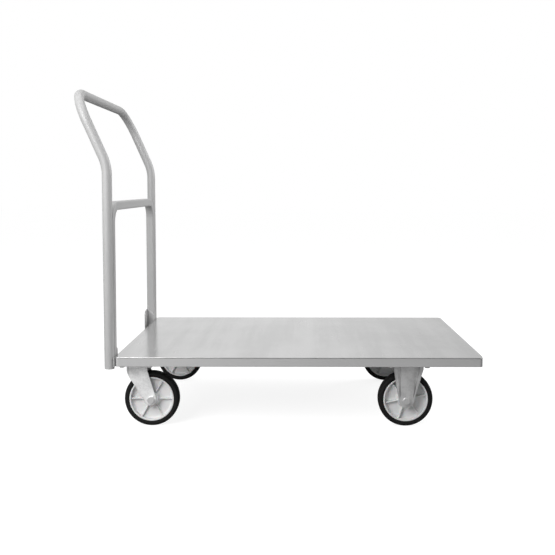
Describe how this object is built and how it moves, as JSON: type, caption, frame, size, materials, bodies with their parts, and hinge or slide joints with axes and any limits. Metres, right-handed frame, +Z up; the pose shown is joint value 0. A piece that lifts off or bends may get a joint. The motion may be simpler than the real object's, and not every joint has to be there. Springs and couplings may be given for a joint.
{
  "type": "flatbed platform truck",
  "caption": "Flatbed platform truck: sheet deck on a channel frame, bent tube push handle with inner hoop, swivel and fixed casters.",
  "frame": {"origin": "floor level, under the centre of the bounding box at rest", "axes": "+X from the handle to the deck's free end, +Y to the pusher's left, +Z up"},
  "size_m": [1.172, 0.7, 0.9814],
  "materials": {
    "stainless_sheet": "satin stainless sheet, half bright, with faint rolling streaks",
    "frame_paint": "light grey semi-gloss paint",
    "handle_paint": "light grey semi-gloss paint over welded tube",
    "zinc_fastener": "bright zinc plating",
    "race_steel": "dull bearing steel with a film of grease",
    "zinc_sheet": "bright zinc plated pressed sheet",
    "bush_plastic": "natural nylon",
    "wheel_plastic": "light grey moulded polypropylene",
    "tyre_rubber": "black solid rubber, low sheen"
  },
  "bodies": {
    "root": {"deck_sheet": "stainless_sheet", "side_rail_left": "frame_paint", "side_rail_right": "frame_paint", "end_rail_rear": "frame_paint", "end_rail_front": "frame_paint", "cross_member_rear": "frame_paint", "plain_cross_members": "frame_paint", "cross_member_front_a": "frame_paint", "cross_member_front_b": "frame_paint", "handle_tube": "handle_paint", "handle_hoop": "handle_paint", "foot_plate_left": "handle_paint", "foot_plate_right": "handle_paint", "gusset_left": "handle_paint", "gusset_right": "handle_paint", "handle_bolts": "zinc_fastener", "handle_nuts": "zinc_fastener", "caster_bolts": "zinc_fastener", "caster_nuts": "zinc_fastener", "swivel_plate_left": "zinc_sheet", "swivel_race_left": "race_steel", "kingpin_left": "zinc_fastener", "kingpin_nut_left": "zinc_fastener", "fixed_bracket_left": "zinc_sheet", "axle_bolt_fixed_left": "zinc_fastener", "axle_nut_fixed_left": "zinc_fastener", "spacer_fixed_left": "race_steel", "swivel_plate_right": "zinc_sheet", "swivel_race_right": "race_steel", "kingpin_right": "zinc_fastener", "kingpin_nut_right": "zinc_fastener", "fixed_bracket_right": "zinc_sheet", "axle_bolt_fixed_right": "zinc_fastener", "axle_nut_fixed_right": "zinc_fastener", "spacer_fixed_right": "race_steel"},
    "swivel_left": {"fork_left": "zinc_sheet", "swivel_balls_left": "race_steel", "axle_bolt_swivel_left": "zinc_fastener", "axle_nut_swivel_left": "zinc_fastener", "spacer_swivel_left": "race_steel"},
    "wheel_swivel_left": {"bush_swivel_left": "bush_plastic", "wheel_core_swivel_left": "wheel_plastic", "tyre_swivel_left": "tyre_rubber"},
    "wheel_fixed_left": {"bush_fixed_left": "bush_plastic", "wheel_core_fixed_left": "wheel_plastic", "tyre_fixed_left": "tyre_rubber"},
    "swivel_right": {"fork_right": "zinc_sheet", "swivel_balls_right": "race_steel", "axle_bolt_swivel_right": "zinc_fastener", "axle_nut_swivel_right": "zinc_fastener", "spacer_swivel_right": "race_steel"},
    "wheel_swivel_right": {"bush_swivel_right": "bush_plastic", "wheel_core_swivel_right": "wheel_plastic", "tyre_swivel_right": "tyre_rubber"},
    "wheel_fixed_right": {"bush_fixed_right": "bush_plastic", "wheel_core_fixed_right": "wheel_plastic", "tyre_fixed_right": "tyre_rubber"}
  },
  "joints": [
    {"name": "swivel_left_turn", "type": "hinge", "parent": "root", "child": "swivel_left", "pos_m": [-0.40874, 0.275, 0.188], "axis": [0, 0, 1], "continuous": true},
    {"name": "wheel_swivel_left_spin", "type": "hinge", "parent": "swivel_left", "child": "wheel_swivel_left", "pos_m": [-0.36873, 0.275, 0.08], "axis": [0, 1, 0], "continuous": true},
    {"name": "wheel_fixed_left_spin", "type": "hinge", "parent": "root", "child": "wheel_fixed_left", "pos_m": [0.37301, 0.275, 0.08], "axis": [0, 1, 0], "continuous": true},
    {"name": "swivel_right_turn", "type": "hinge", "parent": "root", "child": "swivel_right", "pos_m": [-0.40874, -0.275, 0.188], "axis": [0, 0, 1], "continuous": true},
    {"name": "wheel_swivel_right_spin", "type": "hinge", "parent": "swivel_right", "child": "wheel_swivel_right", "pos_m": [-0.36873, -0.275, 0.08], "axis": [0, 1, 0], "continuous": true},
    {"name": "wheel_fixed_right_spin", "type": "hinge", "parent": "root", "child": "wheel_fixed_right", "pos_m": [0.37301, -0.275, 0.08], "axis": [0, 1, 0], "continuous": true}
  ]
}
